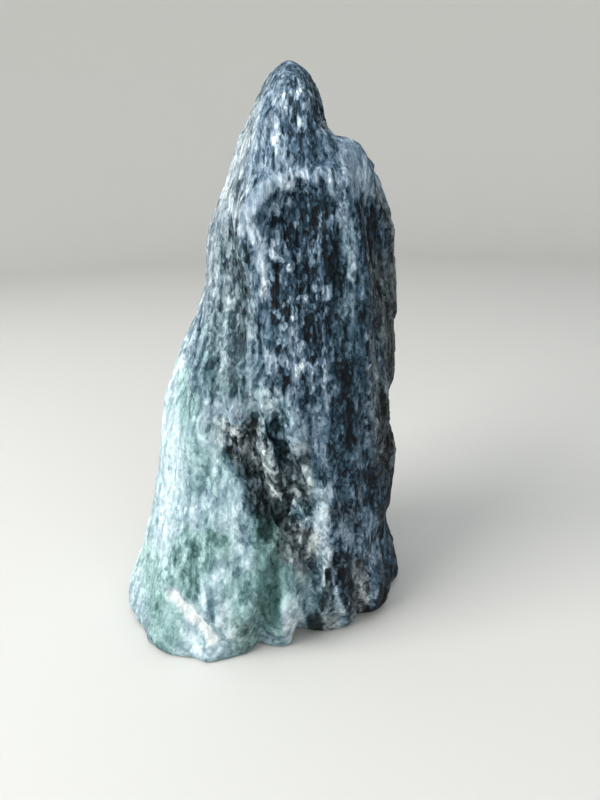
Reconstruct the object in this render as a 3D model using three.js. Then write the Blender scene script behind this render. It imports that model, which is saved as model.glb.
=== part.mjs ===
// A rough piece of soapstone (talc schist), standing up like a small mountain: one solid, broken
// from the vein along its upright fibres. It has a pointed tip with a lower shoulder beside it, a
// hollow face under the tip's brow, a pale foot that swells out at the lower left, and a ragged
// trench that runs down between the foot and the dark column beside it.
//
// Millimetres, +Z up. The face with the hollow and the trench looks along -Y. The origin is in the
// middle of the stone's box, on the surface that it stands on.

import * as THREE from "three";
import { ImprovedNoise } from "three/addons/math/ImprovedNoise.js";

const { clamp, degToRad, lerp, mapLinear, smoothstep } = THREE.MathUtils;

// Driving dimensions: the height, and the grid of columns and rows that the surface is made of.
const HEIGHT = 213;
const COLUMNS = 96;
const RIM_HEIGHT = 1.5;
const TIP_HEIGHT = HEIGHT - 0.5;
const ROW_BANDS = [
  { from: RIM_HEIGHT, to: 24, rows: 6 },
  { from: 24, to: 100, rows: 18 },
  { from: 100, to: 162, rows: 9 },
  { from: 162, to: 194, rows: 9 },
  { from: 194, to: TIP_HEIGHT, rows: 6 },
];

// The flat underside is rings of these shares of the foot's outline.
const UNDERSIDE_RINGS = [0, 0.45, 0.85, 0.985];

// How far the stone reaches at each height before its relief is cut: the places of its left, right,
// front and back, and the place (x, y) of the upright line that its outline turns about.
const LEVELS = [
  { z: 0, left: -56, right: 60, front: -46, back: 46, x: -6, y: 0 },
  { z: 10, left: -56, right: 60, front: -46, back: 47, x: -5, y: 0 },
  { z: 18, left: -52.5, right: 58, front: -46, back: 46, x: -4, y: 0 },
  { z: 34, left: -44, right: 55, front: -43, back: 46, x: -1, y: 1 },
  { z: 50, left: -41.5, right: 57.5, front: -40, back: 45, x: 3, y: 2 },
  { z: 68, left: -38, right: 58, front: -37, back: 44, x: 7, y: 3 },
  { z: 84, left: -35.5, right: 55.5, front: -35, back: 43, x: 9, y: 3 },
  { z: 100, left: -33, right: 56, front: -34, back: 42, x: 11, y: 3 },
  { z: 118, left: -21, right: 56, front: -32, back: 40, x: 17, y: 3 },
  { z: 140, left: -11.5, right: 57, front: -30, back: 37, x: 22, y: 3 },
  { z: 158, left: -9.5, right: 55.5, front: -28, back: 34, x: 23, y: 3 },
  { z: 173, left: -2.5, right: 49.5, front: -26, back: 30, x: 24, y: 3 },
  { z: 183, left: 1.5, right: 44.5, front: -18, back: 27, x: 23, y: 4 },
  { z: 187, left: 3.5, right: 42, front: -14, back: 25, x: 22, y: 5 },
  { z: 190.5, left: 5.5, right: 35, front: -10, back: 23, x: 21, y: 6 },
  { z: 200, left: 11, right: 33, front: -2, back: 19, x: 21, y: 8 },
  { z: 207, left: 13.5, right: 29, front: 3, back: 15, x: 21, y: 9 },
  { z: 211, left: 16.5, right: 26, front: 6, back: 13, x: 21, y: 9.5 },
  { z: HEIGHT, left: 20, right: 22, front: 9, back: 11, x: 21, y: 10 },
];

// How square each quarter of the outline is, at the foot and from the waist up: 2 is an ellipse.
const SQUARENESS = {
  frontLeft: { foot: 2.25, waist: 2.3 },
  frontRight: { foot: 1.6, waist: 2.6 },
  back: { foot: 2.3, waist: 2.5 },
};
const WAIST_HEIGHT = 60;

// The flat breaks that trim the outline. Each faces a direction, in degrees from +X, and stands so
// far from the origin's upright at a low and at a high place: [z, distance]. BREAK_EDGE is how round
// its edges are, in mm, and BREAK_REACH is the cosine of the widest angle at which it still trims.
const BREAKS = [
  { faces: 215, low: [30, 47], high: [170, 8] },
  { faces: -48, low: [30, 49], high: [170, 40] },
  { faces: 62, low: [30, 51], high: [170, 36] },
  { faces: 135, low: [20, 50], high: [180, 16] },
  { faces: 168, low: [20, 56], high: [120, 24] },
];
const BREAK_EDGE = 1.5;
const BREAK_REACH = Math.cos(degToRad(78));

// The chips out of the rim of the underside, which lift it off the surface: degrees and mm.
const CHIPS = [
  { towards: -53, reach: 10, lift: 4 },
  { towards: -28, reach: 8, lift: 2.5 },
  { towards: 35, reach: 14, lift: 3 },
  { towards: 118, reach: 12, lift: 2.5 },
  { towards: 205, reach: 10, lift: 2 },
];
const CHIP_TOP = 20;

// The relief: ridges and grooves, each a line over one side of the stone. A point of a line is
// [across, z, rise]: across is x on the front and back, and y on the sides. A rise below 0 cuts in.
// A form spreads to its reach on either hand of its line, or less far on the side where it is steep.
// A side's relief is whole up to SIDE_WHOLE from the side's direction, and is gone from SIDE_END.
const SIDE_WHOLE = Math.cos(degToRad(60));
const SIDE_END = Math.cos(degToRad(84));
const RELIEF = [
  {
    faces: -90,
    across: "x",
    forms: [
      // The brow under the tip, and the wide hollow below it.
      { line: [[6, 156, 0], [12, 170, 2], [22, 176, 2], [33, 175.5, 2], [40, 164, 0]], reach: 9, below: 5 },
      { line: [[23, 167, -7], [24, 158, -8], [25, 145, -6], [25, 130, -3], [25, 112, 0]], reach: 13 },
      // The tip's edge, the crease beside it, the shoulder, its ridge and the pit beyond that.
      { line: [[24, 208, 0], [28, 197, 2], [30, 184, 1.5], [31, 178, 0]], reach: 5, right: 3 },
      { line: [[33.5, 187, -1], [34, 182, -3], [34, 175, 0]], reach: 4.5 },
      { line: [[40, 187, 1], [41, 180, 2], [41, 172, 0]], reach: 6.5 },
      { line: [[36, 178, 1], [39, 165, 4], [42, 150, 3], [43, 130, 2], [43, 100, 1], [42, 70, 0]], reach: 4 },
      { line: [[46, 172, 0], [47, 164, -5], [48, 154, -4], [49, 140, -1], [49, 125, 0]], reach: 5 },
      // The pale ridge left of the hollow, and the groove beyond it.
      { line: [[7, 168, 1], [6, 158, 3], [7, 144, 3], [9, 130, 2], [10, 112, 0]], reach: 5 },
      { line: [[1, 162, 0], [-1, 150, -4], [-2, 138, -4], [-3, 122, -2], [-4, 106, 0]], reach: 4.5 },
      // The trench between the foot and the dark column, then its left and its right lip.
      {
        line: [[-11, 93, 0], [-6, 88, -4], [3, 79, -6], [9, 70, -7], [14, 57, -7], [22, 46, -5], [34, 26, 0]],
        reach: 10,
        left: 6,
      },
      {
        line: [[-18, 91, 0], [-12, 85, 3], [-5, 75, 4], [1, 64, 4], [5, 53, 4], [12, 44, 3], [26, 24, 0]],
        reach: 13,
        right: 6,
      },
      { line: [[15, 102, 0], [20, 88, 2], [26, 74, 3.5], [31, 62, 4], [38, 28, 0]], reach: 6, right: 4 },
      // Two slots that run up out of the trench, and the rib between them.
      { line: [[4, 106, 0], [4, 96, -5], [5, 86, -4], [7, 76, 0]], reach: 4 },
      { line: [[11, 104, 0], [13, 92, -6], [16, 82, -6], [18, 70, -3], [20, 60, 0]], reach: 4 },
      { line: [[8, 94, 0], [9, 82, 3], [11, 70, 3.5], [13, 61, 0]], reach: 3 },
      // The foot: its toe, its green groove, the lobe right of that, and the notches along the rim.
      { line: [[-42, 14, 0], [-36, 6, 2.5], [-20, 0, 1.5]], reach: 12 },
      { line: [[6, 0, -4], [26, 0, -5]], reach: 20 },
      { line: [[1, 46, 0], [3, 36, -2], [4, 24, -3], [3, 10, -5], [2, 0, -5]], reach: 5 },
      { line: [[12, 36, 0], [13, 22, 4], [13.5, 0, 3]], reach: 6 },
      { line: [[20, 26, 0], [20.5, 16, -3], [21, 6, -6], [21, 0, -6]], reach: 4 },
      { line: [[34, 44, 0], [36, 34, -3], [39, 22, -4], [42, 10, -4], [43, 0, -3]], reach: 3.5 },
      { line: [[35, 24, 0], [36, 13, 3], [37, 0, 2]], reach: 5 },
      { line: [[46, 26, 0], [50, 12, 5], [53, 0, 7]], reach: 9 },
    ],
  },
  {
    faces: 0,
    across: "y",
    forms: [
      { line: [[-6, 180, 0], [-8, 150, -3], [-6, 110, -3], [-4, 60, -2], [-6, 20, 0]], reach: 5 },
      { line: [[6, 176, 0], [8, 140, 3], [9, 90, 3], [7, 40, 1], [7, 15, 0]], reach: 5.5 },
      { line: [[20, 160, 0], [21, 120, -4], [20, 80, -5], [22, 40, -2], [22, 18, 0]], reach: 6 },
      { line: [[2, 66, 0], [10, 62, 2], [20, 57, 3.5], [34, 53, 0]], reach: 12, below: 6 },
      { line: [[26, 20, 0], [26, 8, -4], [27, 0, -5]], reach: 5 },
    ],
  },
  {
    faces: 90,
    across: "x",
    forms: [
      { line: [[18, 192, 0], [16, 160, -4], [14, 120, -6], [12, 80, -4], [10, 45, 0]], reach: 8.5 },
      { line: [[32, 176, 0], [33, 130, 4], [36, 80, 3], [38, 35, 1], [38, 15, 0]], reach: 6 },
      { line: [[-2, 150, 0], [-6, 120, 4], [-10, 80, 4], [-14, 40, 2], [-16, 15, 0]], reach: 6 },
      { line: [[-42, 56, 0], [-28, 66, 4], [-12, 74, 4], [2, 80, 0]], reach: 15, below: 6 },
      { line: [[-26, 90, 0], [-30, 60, -4], [-34, 30, -4], [-36, 8, -2]], reach: 5 },
      { line: [[34, 44, 0], [26, 28, -6], [17, 12, -4], [12, 2, 0]], reach: 10 },
    ],
  },
  {
    faces: 180,
    across: "y",
    forms: [
      { line: [[4, 150, 0], [2, 120, -3], [0, 90, -4], [-2, 60, -3], [-2, 35, 0]], reach: 5 },
      { line: [[14, 140, 0], [14, 100, 3], [16, 60, 3], [18, 25, 1]], reach: 5 },
      { line: [[22, 40, 0], [8, 35, 2.5], [-8, 37, 2.5], [-22, 43, 0]], reach: 12, above: 6 },
      { line: [[24, 26, 0], [26, 12, -3], [28, 0, -4]], reach: 5 },
    ],
  },
];

// The fibres' own ribs: how far apart they stand, how long they run, and how high they are. Their
// crests are where the noise is 0, and RIB_CREST of a rib's height stands out of the plain surface.
const RIBS = [
  { apart: 13, long: 80, high: 2.2 },
  { apart: 30, long: 55, high: 2.5 },
];
const RIB_CREST = 0.5;

// The tip is worn smooth: over this height all relief dies away.
const WORN = 14;

// The value of one key of LEVELS at a height, on a smooth curve through the levels.
function reachAt(key, z) {
  const last = LEVELS.length - 1;
  const i = clamp(LEVELS.findLastIndex((level) => level.z <= z), 0, last - 1);
  const level = (k) => LEVELS[clamp(k, 0, last)];
  const slope = (k) => (level(k + 1)[key] - level(k - 1)[key]) / (level(k + 1).z - level(k - 1).z);
  const span = level(i + 1).z - level(i).z;
  const t = (z - level(i).z) / span;
  return (
    level(i)[key] * (1 + 2 * t) * (1 - t) ** 2 +
    level(i + 1)[key] * t * t * (3 - 2 * t) +
    span * t * (1 - t) * (slope(i) * (1 - t) - slope(i + 1) * t)
  );
}

// The outline with its breaks: the distance from the turning line to the surface, in a direction.
function outline(angle, z) {
  const across = Math.cos(angle);
  const along = Math.sin(angle);
  const [x0, y0] = [reachAt("x", z), reachAt("y", z)];
  const x = across > 0 ? reachAt("right", z) - x0 : x0 - reachAt("left", z);
  const y = along > 0 ? reachAt("back", z) - y0 : y0 - reachAt("front", z);
  const corner = along > 0 ? "back" : across > 0 ? "frontRight" : "frontLeft";
  const power = lerp(SQUARENESS[corner].foot, SQUARENESS[corner].waist, Math.min(1, z / WAIST_HEIGHT));
  let radius = (Math.abs(across / x) ** power + Math.abs(along / y) ** power) ** (-1 / power);
  for (const { faces, low, high } of BREAKS) {
    const towards = Math.cos(angle - degToRad(faces));
    if (towards < BREAK_REACH) continue;
    const start = x0 * Math.cos(degToRad(faces)) + y0 * Math.sin(degToRad(faces));
    const over = radius - (mapLinear(z, low[0], high[0], low[1], high[1]) - start) / towards;
    radius -= (over + Math.hypot(over, BREAK_EDGE)) / 2;
  }
  return radius;
}

// How much one form raises a point of its side: fully on its line, and less and less away from it.
function rise(form, across, z) {
  let nearest = Infinity;
  let raised = 0;
  for (let i = 1; i < form.line.length; i++) {
    const [x0, z0, rise0] = form.line[i - 1];
    const [x1, z1, rise1] = form.line[i];
    const length = Math.hypot(x1 - x0, z1 - z0);
    const along = clamp(((across - x0) * (x1 - x0) + (z - z0) * (z1 - z0)) / length ** 2, 0, 1);
    const aside = across - lerp(x0, x1, along);
    const over = z - lerp(z0, z1, along);
    const distance = Math.hypot(aside, over);
    if (distance >= nearest) continue;
    nearest = distance;
    const steep = (aside > 0 ? form.right : form.left) ?? (over > 0 ? form.above : form.below);
    raised = lerp(rise0, rise1, along) * smoothstep(1 - distance / (steep ?? form.reach), 0, 1);
  }
  return raised;
}

// All the relief at a point of the surface, whose direction from the turning line is angle.
const noise = new ImprovedNoise();
function relief(point, angle) {
  let total = 0;
  for (const { faces, across, forms } of RELIEF) {
    const facing = smoothstep(Math.cos(angle - degToRad(faces)), SIDE_END, SIDE_WHOLE);
    if (facing > 0) for (const form of forms) total += facing * rise(form, point[across], point.z);
  }
  for (const { apart, long, high } of RIBS) {
    const across = noise.noise(point.x / apart, point.y / apart, point.z / long);
    total += high * (RIB_CREST - 2 * Math.abs(across));
  }
  return total;
}

// How far the chips lift the rim in a direction.
function lift(angle) {
  let lifted = 0;
  for (const chip of CHIPS) {
    const away = Math.acos(clamp(Math.cos(angle - degToRad(chip.towards)), -1, 1));
    lifted += chip.lift * smoothstep(1 - away / degToRad(chip.reach), 0, 1);
  }
  return lifted;
}

// The grid starts as a lathed post of radius 1: the underside's rings, the rows and the tip.
const profile = UNDERSIDE_RINGS.map((share) => new THREE.Vector2(share, 0));
for (const { from, to, rows } of ROW_BANDS) {
  for (let row = 0; row < rows; row++) profile.push(new THREE.Vector2(1, lerp(from, to, row / rows)));
}
profile.push(new THREE.Vector2(1, TIP_HEIGHT), new THREE.Vector2(0, HEIGHT));
const geometry = new THREE.LatheGeometry(profile, COLUMNS);
geometry.rotateX(Math.PI / 2);

// Each point of the post goes out or in to the stone's surface, and the rim's points up to its chips.
const position = geometry.getAttribute("position");
for (let i = 0; i < position.count; i++) {
  const angle = Math.atan2(position.getY(i), position.getX(i));
  const share = Math.hypot(position.getX(i), position.getY(i));
  const z = position.getZ(i);
  const [x0, y0] = [reachAt("x", z), reachAt("y", z)];
  const plain = outline(angle, z);
  const point = { x: x0 + plain * Math.cos(angle), y: y0 + plain * Math.sin(angle), z };
  const radius = share * (plain + smoothstep(HEIGHT - z, 0, WORN) * relief(point, angle));
  const onRim = share > (UNDERSIDE_RINGS.at(-2) + UNDERSIDE_RINGS.at(-1)) / 2;
  const height = onRim ? z + lift(angle) * Math.max(0, 1 - z / CHIP_TOP) : z;
  position.setXYZ(i, x0 + radius * Math.cos(angle), y0 + radius * Math.sin(angle), height);
}
geometry.computeBoundingBox();
const middle = geometry.boundingBox.getCenter(new THREE.Vector3());
geometry.translate(-middle.x, -middle.y, 0);
geometry.computeVertexNormals();

const stone = new THREE.Mesh(
  geometry,
  new THREE.MeshStandardMaterial({ color: 0x6f8489, roughness: 0.6, metalness: 0 }),
);
stone.name = "soapstone";
const object = new THREE.Group();
object.add(stone);

export default object;
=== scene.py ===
"""A rough piece of soapstone standing on end, dressed for a studio picture."""

from math import cos, pi, radians, sin

import bmesh
import bpy
import numpy as np
from mathutils import Matrix, Vector, noise


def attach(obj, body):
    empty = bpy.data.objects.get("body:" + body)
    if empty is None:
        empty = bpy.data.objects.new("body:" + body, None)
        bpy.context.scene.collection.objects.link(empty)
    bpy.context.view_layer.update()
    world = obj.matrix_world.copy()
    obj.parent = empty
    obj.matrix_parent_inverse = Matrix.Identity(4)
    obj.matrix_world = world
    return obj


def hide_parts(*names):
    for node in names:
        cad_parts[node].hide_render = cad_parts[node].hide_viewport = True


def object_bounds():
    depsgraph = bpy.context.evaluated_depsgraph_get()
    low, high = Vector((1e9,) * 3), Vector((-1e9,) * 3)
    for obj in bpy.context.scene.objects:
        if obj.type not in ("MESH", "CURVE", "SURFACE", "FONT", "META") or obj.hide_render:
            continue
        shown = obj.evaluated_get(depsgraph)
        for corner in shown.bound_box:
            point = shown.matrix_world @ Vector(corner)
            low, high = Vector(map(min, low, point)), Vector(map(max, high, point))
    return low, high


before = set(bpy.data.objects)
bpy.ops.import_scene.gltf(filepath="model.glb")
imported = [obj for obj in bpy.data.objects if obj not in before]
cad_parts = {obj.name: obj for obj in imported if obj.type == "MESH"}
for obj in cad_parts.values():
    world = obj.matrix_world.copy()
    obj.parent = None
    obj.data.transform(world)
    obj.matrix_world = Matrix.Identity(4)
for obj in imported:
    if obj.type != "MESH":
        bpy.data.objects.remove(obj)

cad_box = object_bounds()

# ---------------------------------------------------------------------------------------------
# The camera
# A wide lens held close, straight in front of the tip and just above the brow, looking down on
# the stone, so that the foot looks broad and the tip small.
# ---------------------------------------------------------------------------------------------
CAMERA_PLACE = (0.019, -0.228, 0.1767)
LOOKS_DOWN_BY, LEANS_BY = 20.84, -2.02  # degrees

scene = bpy.context.scene
camera_data = bpy.data.cameras.new("camera")
camera_data.lens = 27
camera_data.sensor_width = 36
camera_data.clip_start = 0.01
camera = bpy.data.objects.new("camera", camera_data)
look_down = Matrix.Rotation(radians(90 - LOOKS_DOWN_BY), 4, "X")
tilt = Matrix.Rotation(radians(LEANS_BY), 4, "Z")
camera.matrix_world = Matrix.Translation(CAMERA_PLACE) @ look_down @ tilt
scene.collection.objects.link(camera)
scene.camera = camera

# ---------------------------------------------------------------------------------------------
# The stone
# One natural lump of talc schist, snapped out of its vein: a bundle of upright fibres that is
# mint green and waxy at the foot and slate blue towards the tip. Nothing is cut or polished.
# ---------------------------------------------------------------------------------------------
MM = 0.001  # the stone is worked in millimetres, and the scene is in metres
SAME_POINT = 0.01  # points of the solid's loose triangles that are nearer than this are one
LEAST_RISE = 3  # an edge of the solid that rises less lies along a row
TALL_ROWS_FROM, TALL_ROWS_TO = 100, 162  # the solid's rows are tallest here, so they are halved

rough = bmesh.new()
rough.from_mesh(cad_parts["soapstone"].data)
bmesh.ops.remove_doubles(rough, verts=rough.verts, dist=SAME_POINT * MM)
bmesh.ops.join_triangles(rough, faces=rough.faces, angle_face_threshold=pi, angle_shape_threshold=pi)
uprights = [
    edge
    for edge in rough.edges
    if abs(edge.verts[0].co.z - edge.verts[1].co.z) > LEAST_RISE * MM
    and TALL_ROWS_FROM * MM < (edge.verts[0].co.z + edge.verts[1].co.z) / 2 < TALL_ROWS_TO * MM
]
bmesh.ops.subdivide_edges(rough, edges=uprights, cuts=1, use_grid_fill=True)
stone_mesh = bpy.data.meshes.new("stone")
rough.to_mesh(stone_mesh)
rough.free()
stone = bpy.data.objects.new("stone", stone_mesh)
scene.collection.objects.link(stone)
fine = stone.modifiers.new("fine", "SUBSURF")
fine.levels = fine.render_levels = 2
stone.data = bpy.data.meshes.new_from_object(stone.evaluated_get(bpy.context.evaluated_depsgraph_get()))
stone.modifiers.clear()
stone.data.shade_smooth()


def read_points(values, name):
    """The place or the direction of each point of the stone, as rows of x, y and z."""
    flat = np.empty(len(stone.data.vertices) * 3)
    values.foreach_get(name, flat)
    return flat.reshape(-1, 3)


at = read_points(stone.data.vertices, "co") / MM
outward = read_points(stone.data.vertex_normals, "vector")
across, height = at[:, 0], at[:, 2]


def ease(value, low, high):
    """0 at low, 1 at high, and a smooth change between. Either of them may be the larger."""
    share = np.clip((value - low) / (high - low), 0, 1)
    return share * share * (3 - 2 * share)


# The grain: the fibres lean together as they rise, as if to a point far above the tip, and they
# follow the stone's front and back where those slope in to the tip.
FIBRES_MEET = (24, 400)
MIDDLE_HEIGHT = 100  # where the grain is as wide as the stone
GRAIN_DEPTH = 36  # in the grain's own measure, how far the front is from the middle at any height
LEAST_HALF_DEPTH = 8
SLICE = 5
tip_height = cad_box[1][2] / MM
slices = np.arange(SLICE / 2, tip_height, SLICE)
in_slice = [at[abs(height - level) < 0.6 * SLICE, 1] for level in slices]
front_edge = np.interp(height, slices, [part.min() for part in in_slice])
back_edge = np.interp(height, slices, [part.max() for part in in_slice])
half_depth = np.maximum((back_edge - front_edge) / 2, LEAST_HALF_DEPTH)
lean = (FIBRES_MEET[1] - MIDDLE_HEIGHT) / (FIBRES_MEET[1] - height)
grain = np.column_stack([
    (across - FIBRES_MEET[0]) * lean,
    GRAIN_DEPTH * (at[:, 1] - (front_edge + back_edge) / 2) / half_depth,
    height,
])


def fibres(across_mm, along_mm, seed):
    """Noise from -1 to 1 drawn out along the grain, so many millimetres across and along it.

    Each pattern has a seed of its own, which is where in the noise it begins.
    """
    scaled = grain / (across_mm, across_mm, along_mm) + seed
    return np.fromiter((noise.noise(place) for place in scaled.tolist()), float)


SPLINTERS_APART = 7.31  # spreads their centres, so that each falls in a cell of its own


def splinters(across_mm, along_mm, seed):
    """For each point a number from 0 to 1 that its whole splinter shares, and how far in it is."""
    scaled = grain / (across_mm, across_mm, along_mm) + seed
    own, inside = np.empty(len(scaled)), np.empty(len(scaled))
    for i, place in enumerate(scaled.tolist()):
        distances, centres = noise.voronoi(place)
        own[i] = noise.cell(centres[0] * SPLINTERS_APART)
        inside[i] = distances[1] - distances[0]
    return own, inside


blade, _ = splinters(6, 40, 11.7)
flake, flake_in = splinters(2.9, 9, 5.3)
ridges = 1 - 2 * abs(fibres(3.6, 30, 21.9))
fine_ridges = 1 - 2 * abs(fibres(2.0, 9, 8.4))

# The forms and colours below are strokes over the front. Each is a line of [x, z] points, its
# reach, the value wanted there and, where it isn't 1, how ragged it is. Their edges run out along
# whole flakes, so they are as ragged as the stone.
FULL_WITHIN = 0.35  # the part of its reach over which a stroke is at its strongest
front = ease(-outward[:, 1], -0.1, 0.3)
aside_by = 0.8 * (flake - 0.5) + fibres(4, 18, 40.2)
along_by = 3 * (flake - 0.5) + 3 * fibres(3, 12, 17.7)
ragged_across, ragged_height = across + aside_by, height + along_by


def stroke(line, reach, ragged=1.0):
    """1 on a line over the front, and less and less out to its reach."""
    nearest = np.full(len(at), np.inf)
    x, z = across + ragged * aside_by, height + ragged * along_by
    for (x0, z0), (x1, z1) in zip(line, line[1:]):
        run, climb = x1 - x0, z1 - z0
        share = np.clip(((x - x0) * run + (z - z0) * climb) / (run**2 + climb**2), 0, 1)
        nearest = np.minimum(nearest, np.hypot(x - x0 - share * run, z - z0 - share * climb))
    return front * ease(nearest, reach, FULL_WITHIN * reach)


def painted(start, strokes):
    """A value all over the stone, and the strokes laid over it one after another."""
    value = start
    for line, reach, wanted, *ragged in strokes:
        value = value + stroke(line, reach, *ragged) * (wanted - value)
    return value


# Away from the front the stone is plainer: broad drifts and clouds, and no strokes.
away = 1 - front
drift, clouds = fibres(16, 70, 33.0), fibres(8, 26, 28.5)

# The foot is the green part: it ends at a seam that runs up to the left from the trench, sharp
# in the trench and softer to the left.
SEAM = [(-60, 130), (-20, 108), (-10, 96), (2, 80), (5, 69), (10, 56), (20, 44), (30, 28), (40, 0)]
seam = np.interp(ragged_across, *zip(*SEAM)) + away * (30 * drift + 26 * clouds)
softness = np.interp(ragged_across, [-20, 2], [40, 5]) + 16 * away
foot = ease(seam + 0.4 * softness - ragged_height, 0, softness)

# The two flanks, by the way that their surface faces, and the right one by its place too.
right_side = ease(across, 38, 50)
right = ease(outward[:, 0] + 0.2 * fibres(6, 40, 2.2), 0.3, 0.8) * right_side
left = ease(-outward[:, 0], 0.35, 0.9)

# How rough the break is: torn in the trench and the hollow, and smooth on the foot and the tip.
TRENCH = [(-8, 89), (2, 79), (6, 68), (11, 55), (20, 44), (28, 34)]
roughness = painted(1 - 0.5 * foot, [
    ([(18, 212), (8, 185), (-6, 150), (-18, 125)], 18, 0.45),
    ([(42, 184), (44, 168)], 10, 0.6),
    ([(22, 158), (22, 125)], 14, 1.2),
    (TRENCH, 10, 1.6),
])

# The small forms, in millimetres out of the surface or into it.
forms = painted(0, [
    # The two horns of the trench, the rib between them, and the lip at its right.
    ([(-1, 92), (0, 82)], 2.4, -0.6),
    ([(9, 88), (13, 80), (13, 65)], 3, -0.8),
    ([(5, 86), (7, 79), (9, 67)], 3, 0.7),
    ([(17, 92), (21, 74), (24, 66)], 4, 0.7),
    # The lip of the brow, and the scar on the foot.
    ([(3, 161), (9, 168), (14, 172), (20, 174), (31, 174)], 3.5, 0.9),
    ([(-32, 25), (-19, 12)], 4.5, -0.8, 0.3),
])
# The crease between the cone and the shoulder runs over the edge, so it is sunk from all sides.
CREASE, CREASE_REACH, CREASE_DEPTH = (36.5, 190.5), 6, 2.2
forms = forms - CREASE_DEPTH * ease(np.hypot(across - CREASE[0], height - CREASE[1]), CREASE_REACH, 1)

# The relief of the splinters and flakes, in millimetres.
relief = roughness * (1 + 0.5 * away * drift) * (
    0.5 * fibres(15, 60, 3.1)
    + 0.7 * (blade - 0.5)
    + 0.5 * (flake - 0.5)
    - 0.45 * ease(flake_in, 0.15, 0)
    + 0.35 * ridges
    + 0.25 * fine_ridges
)

# All of it fades out at the flat underside, where the stone stands, and towards the tip. Smoothing
# the net has drawn its rounded parts in, the right flank most, so they are let out again.
fading = ease(height, 0.6, 5) * ease(tip_height - height, -2, 12)
let_out = 0.3 + 1.2 * right * ease(height, 150, 110)
lifted = at + outward * (fading * (relief + forms + let_out))[:, None]
stone.data.vertices.foreach_set("co", (lifted * MM).ravel())
stone.data.update()

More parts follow.
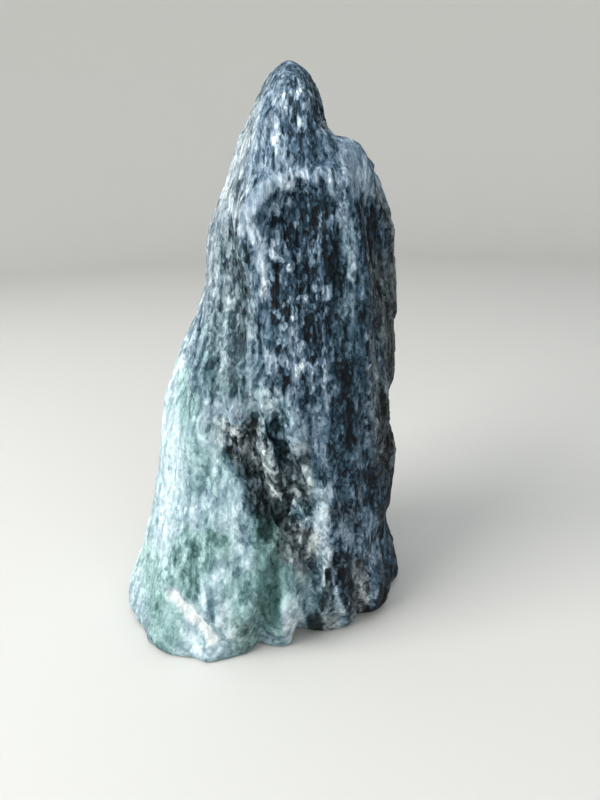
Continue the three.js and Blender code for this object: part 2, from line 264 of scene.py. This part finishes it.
# How light the stone is, from 0 to 1. The foot is pale, and its left-facing flank lighter still, partly
# its paler colour and partly painted light from the left. The left side above the foot is a little
# lighter than the middle, and the right side darker up to the shoulder, partly its own darker colour
# and partly painted shade on the side away from the light.
dark_and_shaded_side = right_side * ease(height + 14 * clouds, 172, 148)
plain = 0.32 + 0.30 * foot - 0.09 * dark_and_shaded_side + 0.12 * ease(across, 4, -14) * (1 - foot)
lightness = painted(plain + away * (0.20 * drift + 0.16 * clouds + 0.10 * left * foot), [
    # The cone, the left flank and the shoulder.
    ([(10, 210), (-2, 180), (-10, 160)], 14, 0.72),
    ([(-9, 162), (-15, 146), (-22, 126), (-30, 108)], 10, 0.55),
    ([(14, 210), (10, 180), (4, 168)], 10, 0.42),
    ([(22, 205), (20, 182)], 6, 0.38),
    ([(27, 206), (28, 192), (29, 178)], 8, 0.31),
    ([(36, 188), (42, 178), (45, 168)], 10, 0.48),
    ([(31, 186), (31, 177)], 3.2, 0.32, 0.5),
    ([(37, 185), (37, 172)], 4, 0.54, 0.5),
    ([(13, 199), (21, 199)], 2.5, 0.53),
    ([(20, 197), (20, 190)], 2.5, 0.25, 0.6),
    ([(8, 198), (7, 184)], 3, 0.60),
    ([(11, 196), (11, 186)], 2, 0.35, 0.6),
    ([(14, 193), (13, 186)], 1.8, 0.76, 0.4),
    ([(22, 192), (22, 189)], 1.6, 0.70, 0.4),
    ([(24, 190), (24, 183)], 2.4, 0.27, 0.6),
    ([(10, 170), (15, 174), (20, 176)], 2.6, 0.64, 0.6),
    ([(54, 168), (57, 152), (58, 136)], 5, 0.42),
    # The brow, the hollow below it, and the ridges beside that.
    ([(-6, 156), (3, 163), (9, 168), (14, 172)], 4.5, 0.54),
    ([(2, 174), (6, 170)], 4, 0.58),
    ([(8, 168), (13, 171), (20, 175)], 4, 0.60),
    ([(-4, 160), (2, 161)], 3.5, 0.57),
    ([(20, 175.5), (30, 174.5)], 3, 0.52, 0.5),
    # The hollow is dark in itself and partly painted shade cast by the brow, darkest at its top just
    # under the brow.
    ([(14, 158), (20, 163), (20, 153), (21, 140)], 9, 0.17),
    ([(25, 165), (28, 157), (32, 140)], 6, 0.12),
    ([(19, 164), (22, 168), (28, 168), (31, 163)], 4.5, 0.17, 0.3),
    ([(8, 163), (13, 168), (19, 171)], 2.6, 0.30, 0.4),
    ([(3, 162), (8, 168), (14, 173), (21, 175)], 2.0, 0.62, 0.4),
    ([(13, 158), (12, 151)], 3, 0.46),
    ([(4, 161), (7, 155), (8, 146), (8, 138)], 3.2, 0.64, 0.6),
    ([(0, 155), (0, 143)], 5, 0.29),
    ([(-2, 138), (-1, 114)], 5, 0.38),
    ([(-2, 128), (-2, 115)], 2.4, 0.31, 0.6),
    ([(3, 119), (2, 107)], 3, 0.52, 0.6),
    ([(1, 150), (1, 136)], 2, 0.24, 0.6),
    ([(-7, 122), (-7, 112)], 2, 0.62, 0.5),
    ([(-4, 157), (-6, 148)], 4, 0.40),
    ([(-9, 130), (-8, 122)], 4, 0.50),
    ([(-5, 143), (-5, 131)], 2, 0.56, 0.5),
    ([(5, 142), (3, 122)], 3, 0.55),
    ([(34, 171), (34, 162)], 4, 0.45),
    ([(35, 162), (37, 153), (39, 143)], 3, 0.50, 0.5),
    ([(42, 162), (43, 158), (45, 152)], 4.6, 0.14),
    ([(36, 169), (41, 168)], 3.5, 0.44),
    ([(12, 150), (12, 128)], 2.4, 0.13, 0.6),
    ([(27, 161), (27, 151)], 1.6, 0.34, 0.5),
    ([(3, 161), (3, 159)], 1.7, 0.74, 0.3),
    ([(13, 166), (14, 164)], 1.6, 0.72, 0.3),
    ([(13, 155), (12, 151)], 1.9, 0.74, 0.4),
    ([(14, 143), (16, 143)], 1.5, 0.66, 0.3),
    ([(25, 140), (25, 137)], 1.6, 0.58, 0.3),
    ([(29, 139), (29, 136)], 2, 0.60, 0.3),
    # The waist.
    ([(-14, 118), (-15, 106)], 7, 0.37),
    ([(-17, 130), (-16, 120)], 4, 0.52),
    ([(6, 119), (11, 116)], 4, 0.56),
    ([(16, 140), (16, 127)], 6, 0.18),
    ([(18, 138), (24, 135)], 4.5, 0.15),
    ([(17, 124), (17, 118)], 4, 0.42),
    ([(20, 115), (24, 112)], 2.2, 0.56, 0.5),
    ([(36, 118), (35, 90), (35, 56)], 7, 0.215),
    ([(-28, 110), (-31, 96)], 6, 0.74),
    ([(-13, 100), (-5, 95)], 4.5, 0.62),
    ([(-18, 104), (-17, 95)], 4, 0.50),
    ([(-4, 96), (0, 100), (5, 106)], 5, 0.66),
    ([(25, 106), (24, 82)], 8, 0.43),
    ([(14, 107), (19, 105), (20, 101)], 5, 0.18),
    # The trench, its rib and its lips.
    ([(-2, 98), (10, 99)], 5.5, 0.68),
    # The dark band and the darker line just inside the foot's edge are partly the trench's dark stone
    # and partly painted shade on the wall below the foot's lip.
    ([(-9, 84), (-3, 76), (3, 66), (9, 57)], 6.5, 0.33),
    ([(-4, 85), (0, 76), (2, 68), (5, 61), (9, 55)], 3, 0.18, 0.5),
    ([(3, 65), (5, 55)], 4.2, 0.13, 0.6),
    ([(11, 63), (14, 59)], 3.2, 0.26),
    ([(-1, 95), (0, 81)], 1.6, 0.31, 0.6),
    ([(8, 88), (10, 85), (13, 79), (12, 72), (13, 65)], 2.8, 0.16, 0.8),
    ([(5, 97), (4, 88)], 2.5, 0.50, 0.6),
    ([(6, 84), (7, 79), (8, 72), (9, 67)], 2.8, 0.60, 0.5),
    ([(14, 98), (16, 92), (18, 85)], 3.8, 0.58),
    ([(17, 82), (17, 77)], 2.5, 0.25, 0.5),
    ([(17, 74), (18, 64)], 3, 0.27, 0.5),
    ([(-3, 85), (-1, 80)], 2.4, 0.42, 0.5),
    ([(20, 76), (21, 73), (23, 67)], 2.6, 0.62, 0.5),
    ([(14, 60), (18, 60)], 1.8, 0.50, 0.4),
    # The foot.
    # The foot's left flank is pale, and partly painted light falling from the left.
    ([(-38, 34), (-35, 60), (-31, 88)], 9, 0.73),
    ([(-25, 98), (-22, 91)], 5.5, 0.56),
    ([(-20, 76), (-18, 64)], 7, 0.52),
    ([(-13, 74), (-8, 70), (-6, 64), (-4, 58)], 3.5, 0.62),
    ([(-13, 85), (-6, 76)], 4.5, 0.37),
    ([(-16, 89), (-12, 83)], 5, 0.72),
    ([(-13, 91), (-6, 89)], 4, 0.70),
    ([(-8, 62), (-8, 47)], 4, 0.68),
    ([(-2, 60), (-2, 50)], 4.5, 0.44),
    ([(-25, 54), (-24, 46)], 4, 0.54),
    ([(-30, 42), (-26, 36), (-24, 28)], 4, 0.46),
    ([(-23, 43), (-23, 36)], 3, 0.42),
    ([(-17, 53), (-11, 50)], 3.6, 0.38),
    ([(-17, 47), (-17, 39)], 3.2, 0.42),
    ([(-18, 32), (-18, 22)], 2.4, 0.48, 0.6),
    ([(-21, 31), (-20, 26)], 2.2, 0.68, 0.6),
    ([(-7, 44), (-6, 40)], 2.6, 0.66, 0.6),
    ([(-20, 48), (-20, 44)], 2.5, 0.62, 0.6),
    ([(-21, 64), (-22, 48)], 4.5, 0.70),
    ([(-5, 38), (-4, 28)], 5, 0.45),
    ([(11, 46), (15, 36), (19, 24), (21, 12)], 6.5, 0.39),
    ([(18, 55), (21, 51)], 4.5, 0.58),
    ([(27, 68), (23, 52), (23, 42), (27, 30)], 5.2, 0.70),
    ([(17, 49), (20, 45)], 3, 0.64, 0.5),
    ([(8, 54), (14, 48), (20, 41), (24, 34)], 1.4, 0.38, 0.4),
    ([(5, 42), (5, 18)], 7, 0.25),
    ([(2, 51), (3, 45)], 4, 0.45),
    ([(13, 44), (14, 33)], 5, 0.44),
    ([(12, 26), (12, 2)], 4.2, 0.70),
    ([(15, 24), (17, 10)], 3.2, 0.60),
    ([(13, 30), (15, 24)], 2, 0.70, 0.5),
    ([(-4, 18), (-4, 2)], 5.5, 0.42),
    ([(-13, 21), (-12, 13)], 4, 0.80),
    ([(23, 33), (22, 24)], 3, 0.42),
    ([(0, 12), (6, 4)], 6, 0.42),
    ([(22, 12), (22, 0)], 4.5, 0.08),
    ([(27, 18), (28, 3)], 4, 0.44),
    ([(32, 17), (33, 6)], 2.4, 0.54, 0.5),
    ([(36, 18), (36, 3)], 2.4, 0.16, 0.5),
    ([(27, 26), (27, 20)], 4, 0.16),
    ([(33, 46), (33, 34), (35, 20)], 3.6, 0.15, 0.6),
    ([(33, 52), (36, 45), (40, 36), (49, 24)], 3.2, 0.47, 0.6),
    ([(43, 44), (48, 37)], 4, 0.52),
    ([(42, 24), (43, 3)], 4, 0.42),
    ([(43, 62), (43, 48)], 4, 0.33),
    ([(46, 16), (48, 9)], 3, 0.48, 0.6),
    # Painted shadow on the low right flank and at its foot, the side turned away from the light.
    ([(57, 56), (56, 34)], 7, 0.06),
    ([(49, 94), (51, 74), (52, 34)], 4, 0.11),
    ([(56, 10), (48, 2)], 8, 0.07),
    ([(-32, 18), (-24, 14), (-17, 14)], 6, 0.62),
    ([(-42, 29), (-31, 30)], 4, 0.54),
    ([(-46, 4), (-36, 2)], 3.5, 0.48),
    ([(-34, 15), (-28, 10)], 4, 0.66),
    ([(-27, 8), (-19, 4)], 4.6, 0.74, 0.5),
    ([(-32, 24), (-28, 21), (-23, 17), (-18, 11)], 4.8, 0.84, 0.3),
    ([(-42, 24), (-41, 10)], 6, 0.55),
    # Painted light along the foot's left edge, over its pale colour.
    ([(-50, 34), (-54, 20), (-55, 8)], 5, 0.70),
])
# Painted contact shade: the lowest few millimetres, where the stone meets the ground, are darker.
lightness = lightness - 0.10 * ease(height, 5, 0)  # the rim is darker

# How much of the slate blue turns to mint green: the foot, and a little of the waist at the left.
green_foot = (0.35 + away * (0.2 + 0.35 * left + 0.6 * clouds)) * foot
green_waist = 0.15 * ease(across, 8, -6) * ease(height, 150, 120) * (1 - foot)
greenness = painted(0.08 + green_foot + green_waist, [
    ([(0, 100), (8, 85), (16, 62)], 16, 0.4),
    ([(-24, 100), (-22, 92)], 9, 0.7),
    ([(-17, 86), (-18, 62)], 9, 0.65),
    ([(-14, 50), (-24, 42), (-28, 34)], 11, 1.0),
    ([(-43, 26), (-38, 12)], 13, 1.0),
    ([(6, 54), (5, 12)], 8, 0.95),
    ([(-6, 32), (-6, 4)], 9, 0.8),
    ([(-8, 122), (-8, 106)], 12, 0.5),
    ([(-3, 150), (-3, 118)], 10, 0.4),
    ([(-12, 99), (-3, 97)], 6, 0.25),
    ([(-12, 84), (-6, 74)], 6, 0.5),
    ([(-28, 58), (-12, 62)], 8, 0.4),
    ([(13, 40), (14, 26)], 6, 0.6),
    ([(13, 20), (13, 4)], 6, 0.3),
    ([(0, 165), (15, 173), (30, 176)], 6, 0.0),
    ([(35, 158), (35, 110)], 5, 0.3),
    ([(-32, 25), (-26, 20), (-19, 12)], 4.5, 0.1, 0.3),
])

# How much of that turns to umber: the right flank between the foot and the shoulder, and the left
# one from the waist up.
warm_right = 0.85 * right * ease(height, 45, 75) * ease(height + 24 * clouds, 185, 150)
warm_left = 0.5 * left * ease(height, 110, 150)
warmth = painted(warm_right + warm_left, [
    ([(-4, 158), (-2, 125)], 9, 0.36),
    ([(-7, 15), (-6, 4)], 7, 0.30),
    ([(-4, 86), (4, 78), (8, 66)], 12, 0.6),
    ([(17, 82), (18, 66)], 6, 0.6),
    ([(12, 54), (18, 40)], 7, 0.55),
    ([(30, 58), (36, 54)], 6, 0.35),
    ([(27, 20), (28, 3)], 5, 0.8),
    ([(13, 18), (13, 4)], 5, 0.4),
    ([(13, 46), (19, 36)], 6, 0.6),
    ([(27, 204), (31, 190)], 4.5, 0.5),
    ([(-8, 132), (-6, 108)], 8, 0.3),
    ([(30, 34), (32, 14)], 8, 0.35),
    ([(40, 26), (41, 4)], 6, 0.8),
    ([(18, 48), (22, 44)], 3, 0.7),
    ([(-32, 25), (-26, 20), (-18, 11)], 5, 0.6, 0.3),
])

# How strongly the fibres and grains stand out in light and dark.
contrast = painted(0.80 - 0.30 * foot - 0.08 * right, [
    ([(8, 205), (-6, 175), (-14, 150)], 8, 0.66),
    ([(20, 205), (17, 180)], 11, 0.95),
    ([(2, 158), (-2, 130)], 9, 0.92),
    ([(0, 112), (-14, 104)], 9, 0.62),
    ([(36, 186), (44, 170)], 9, 0.58),
    ([(2, 163), (8, 168), (14, 173), (28, 175)], 4, 0.45),
    ([(22, 165), (20, 110)], 14, 1.0),
    ([(19, 165), (29, 167)], 5, 0.55),
    ([(18, 88), (20, 74)], 5, 0.6),
    ([(-12, 94), (0, 100)], 8, 0.55),
    (TRENCH, 10, 0.85),
    ([(2, 62), (12, 55)], 5, 0.6),
    ([(5, 44), (5, 18)], 7, 0.32),
    ([(36, 118), (35, 40)], 9, 0.8),
    ([(28, 28), (40, 10)], 10, 0.85),
    ([(-32, 25), (-25, 18), (-19, 12)], 5, 0.35, 0.4),
])

# How much the painted glints show: bright flakes painted into the colour where the talc catches the
# light.
painted_glint_share = painted(0.25, [
    ([(20, 165), (16, 145), (20, 110)], 13, 1),
    ([(5, 90), (10, 75), (14, 58)], 10, 0.9),
    ([(42, 160), (42, 150)], 5, 1),
    ([(20, 198), (12, 178)], 10, 0.8),
    ([(-14, 76), (-22, 50), (-12, 24)], 12, 0.5),
    ([(28, 28), (30, 8)], 9, 0.8),
])

# The material reads all of these, and the grain, from the stone's points.
on_points = {
    "lightness": lightness,
    "greenness": greenness,
    "warmth": warmth,
    "contrast": contrast,
    "painted_glint_share": painted_glint_share,
    "relief": relief,
}
for name, values in on_points.items():
    made = stone.data.attributes.new(name, "FLOAT", "POINT")
    made.data.foreach_set("value", values.astype(np.float32))
made = stone.data.attributes.new("grain", "FLOAT_VECTOR", "POINT")
made.data.foreach_set("vector", grain.astype(np.float32).ravel())

soapstone = bpy.data.materials.new("soapstone")
soapstone.use_nodes = True
tree = soapstone.node_tree
shader = tree.nodes["Principled BSDF"]


def node(kind, **settings):
    """A new node in the stone's material."""
    made = tree.nodes.new("ShaderNode" + kind)
    for key, value in settings.items():
        setattr(made, key, value)
    return made


def into(socket, source):
    """Sets a socket to a number, or links another node's output to it."""
    if isinstance(source, (int, float)):
        socket.default_value = source
    else:
        tree.links.new(source, socket)


def read(name, output="Fac"):
    """What the stone's points say under this name."""
    return node("Attribute", attribute_name=name).outputs[output]


def maths(operation, a, b=0.0, c=None):
    made = node("Math", operation=operation)
    into(made.inputs[0], a)
    into(made.inputs[1], b)
    if c is not None:
        into(made.inputs[2], c)
    return made.outputs[0]


def spread(value, amount):
    """A pattern about 0.5 turned to one about 0, and made stronger or weaker."""
    return maths("MULTIPLY_ADD", value, amount, -0.5 * amount)


grain_place = read("grain", "Vector")


def along_grain(across_mm, along_mm, offset):
    """The grain's place, scaled so that 1 is so many millimetres across and along it."""
    stretch = node("Mapping")
    stretch.inputs["Scale"].default_value = (1 / across_mm, 1 / across_mm, 1 / along_mm)
    stretch.inputs["Location"].default_value = (offset, offset, offset)
    into(stretch.inputs["Vector"], grain_place)
    return stretch.outputs["Vector"]


def streaks(across_mm, along_mm, offset, detail=2.0, rough=0.5):
    """Cloudy noise about 0.5 that is drawn out along the grain."""
    pattern = node("TexNoise")
    pattern.inputs["Scale"].default_value = 1
    pattern.inputs["Detail"].default_value = detail
    pattern.inputs["Roughness"].default_value = rough
    into(pattern.inputs["Vector"], along_grain(across_mm, along_mm, offset))
    return pattern.outputs["Fac"]


def chips(across_mm, along_mm, offset):
    """A number from 0 to 1 for each small flake of the stone."""
    cells = node("TexVoronoi")
    cells.inputs["Scale"].default_value = 1
    into(cells.inputs["Vector"], along_grain(across_mm, along_mm, offset))
    split = node("SeparateColor")
    into(split.inputs["Color"], cells.outputs["Color"])
    return split.outputs[0]


def limited(value, low, high):
    """The same as ease, in the material."""
    made = node("MapRange", interpolation_type="SMOOTHSTEP")
    into(made.inputs["Value"], value)
    made.inputs["From Min"].default_value = low
    made.inputs["From Max"].default_value = high
    return made.outputs["Result"]


def shades(place, *stops):
    """A colour for each lightness: stops are (lightness, red, green, blue)."""
    made = node("ValToRGB")
    elements = made.color_ramp.elements
    while len(elements) < len(stops):
        elements.new(0.5)
    for element, (position, *colour) in zip(elements, stops):
        element.position = position
        element.color = (*colour, 1)
    into(made.inputs["Fac"], place)
    return made.outputs["Color"]


def mixed(share, under, over):
    made = node("Mix", data_type="RGBA")
    into(made.inputs["Factor"], share)
    tree.links.new(under, made.inputs["A"])
    tree.links.new(over, made.inputs["B"])
    return made.outputs["Result"]


# Long columns, light and dark fibres, and hard-edged grains large and small.
columns = streaks(4.5, 50, 3.0, detail=1)
fibre = streaks(2.2, 12, 7.0)
grains = chips(1.7, 3.6, 5.0)
small_grains = chips(0.8, 1.4, 31.0)
varied = spread(columns, 0.55)
for pattern, strength in ((fibre, 0.65), (grains, 0.28), (small_grains, 0.30)):
    varied = maths("ADD", varied, spread(pattern, strength))

# About one flake in eight is a dark dash, and one in seven can be a painted glint, a bright flake where
# the talc would catch the light.
dashes = limited(chips(1.4, 4.5, 21.0), 0.14, 0.10)
varied = maths("MULTIPLY_ADD", dashes, -0.17, varied)
painted_glints = maths("MULTIPLY", limited(chips(1.5, 2.4, 9.0), 0.84, 0.88), read("painted_glint_share"))
varied = maths("MULTIPLY_ADD", painted_glints, 0.28, varied)

# This pattern comes on top of the painted lightness, and what stands out is a little lighter and what
# lies in a little darker: partly the paler crests of the flakes, partly painted light on the crests and
# painted shade in the hollows.
light = maths("MULTIPLY_ADD", varied, read("contrast"), read("lightness"))
light = maths("MULTIPLY_ADD", read("relief"), 0.06, light)

# The three colours of the stone, each from its darkest to its palest.
slate = shades(
    light,
    (0.0, 0.001, 0.002, 0.004),
    (0.13, 0.004, 0.013, 0.023),
    (0.26, 0.025, 0.059, 0.091),
    (0.38, 0.075, 0.126, 0.179),
    (0.50, 0.159, 0.221, 0.288),
    (0.63, 0.278, 0.358, 0.430),
    (0.80, 0.525, 0.628, 0.710),
    (1.0, 0.85, 0.93, 0.96),
)
mint = shades(
    light,
    (0.0, 0.001, 0.005, 0.005),
    (0.20, 0.012, 0.040, 0.038),
    (0.38, 0.072, 0.142, 0.139),
    (0.53, 0.168, 0.292, 0.290),
    (0.68, 0.325, 0.477, 0.480),
    (0.85, 0.580, 0.750, 0.765),
    (1.0, 0.85, 0.95, 0.96),
)
umber = shades(
    light,
    (0.0, 0.001, 0.002, 0.003),
    (0.14, 0.012, 0.017, 0.020),
    (0.26, 0.044, 0.056, 0.062),
    (0.40, 0.118, 0.138, 0.147),
    (0.60, 0.305, 0.342, 0.345),
    (0.80, 0.600, 0.640, 0.622),
    (1.0, 0.90, 0.91, 0.88),
)

# The green comes and goes with the fibres, and the umber with streaks of its own.
green_share = limited(maths("MULTIPLY", read("greenness"), maths("ADD", fibre, 0.5)), 0.0, 1.0)
warm_streaks = streaks(2.5, 8, 50.0)
warm_share = limited(maths("MULTIPLY", read("warmth"), maths("ADD", warm_streaks, 0.5)), 0.0, 0.9)
colour = mixed(warm_share, mixed(green_share, slate, mint), umber)
tree.links.new(colour, shader.inputs["Base Color"])

# The break is gritty to the touch, and waxier along the dark fibres than along the light ones.
grit = maths("ADD", streaks(1.3, 3, 13.0, detail=3, rough=0.6), maths("MULTIPLY", small_grains, 0.25))
bump = node("Bump")
bump.inputs["Strength"].default_value = 0.5
bump.inputs["Distance"].default_value = 0.5 * MM
into(bump.inputs["Height"], grit)
tree.links.new(bump.outputs["Normal"], shader.inputs["Normal"])
tree.links.new(maths("MULTIPLY_ADD", fibre, 0.4, 0.3), shader.inputs["Roughness"])
shader.inputs["Specular IOR Level"].default_value = 0.14

stone.data.materials.clear()
stone.data.materials.append(soapstone)
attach(stone, "root")
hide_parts("soapstone")

# ---------------------------------------------------------------------------------------------
# The studio
# A pale floor that sweeps up into a round wall, a big soft window light at the left, a soft
# sky above, and a weak light from the front.
# ---------------------------------------------------------------------------------------------
FLOOR_REACH, SWEEP, WALL_TOP = 1.1, 0.5, 2.0
PINHOLE = 0.001  # the floor starts this far out, under the stone

profile = [(PINHOLE, 0)]
for turn in range(0, 91, 10):
    profile.append((FLOOR_REACH + SWEEP * sin(radians(turn)), SWEEP * (1 - cos(radians(turn)))))
profile.append((FLOOR_REACH + SWEEP, WALL_TOP))
sweep = bmesh.new()
points = [sweep.verts.new((x, 0, z)) for x, z in profile]
lines = [sweep.edges.new(pair) for pair in zip(points, points[1:])]
bmesh.ops.spin(
    sweep, geom=points + lines, cent=(0, 0, 0), axis=(0, 0, 1), angle=2 * pi, steps=96, use_merge=True
)
bmesh.ops.remove_doubles(sweep, verts=sweep.verts, dist=PINHOLE / 2)
bmesh.ops.recalc_face_normals(sweep, faces=sweep.faces)
floor_mesh = bpy.data.meshes.new("floor")
sweep.to_mesh(floor_mesh)
sweep.free()
floor_mesh.shade_smooth()
floor = bpy.data.objects.new("floor", floor_mesh)
scene.collection.objects.link(floor)
paper = bpy.data.materials.new("paper")
paper.use_nodes = True
paper_shader = paper.node_tree.nodes["Principled BSDF"]
paper_shader.inputs["Base Color"].default_value = (0.66, 0.65, 0.62, 1)
paper_shader.inputs["Roughness"].default_value = 0.9
floor_mesh.materials.append(paper)

LIGHTS_AIM_AT = Vector((0, 0, 0.1))  # the middle of the stone


def softbox(name, place, size, watts, colour):
    """A square soft light that looks at the middle of the stone."""
    data = bpy.data.lights.new(name, "AREA")
    data.size = size
    data.energy = watts
    data.color = colour
    lamp = bpy.data.objects.new(name, data)
    lamp.location = place
    lamp.rotation_euler = (LIGHTS_AIM_AT - Vector(place)).to_track_quat("-Z", "Y").to_euler()
    scene.collection.objects.link(lamp)


softbox("window", (-0.85, -0.45, 0.70), 0.8, 16, (1.0, 0.99, 0.96))
softbox("sky", (0.0, -0.2, 1.6), 1.6, 12, (0.88, 0.94, 1.0))
softbox("front", (0.5, -1.0, 0.4), 0.8, 3, (0.95, 0.97, 1.0))

world = bpy.data.worlds.new("studio")
world.use_nodes = True
background = world.node_tree.nodes["Background"]
background.inputs["Color"].default_value = (0.80, 0.86, 0.95, 1)
background.inputs["Strength"].default_value = 0.25
scene.world = world
scene.view_settings.view_transform = "Standard"
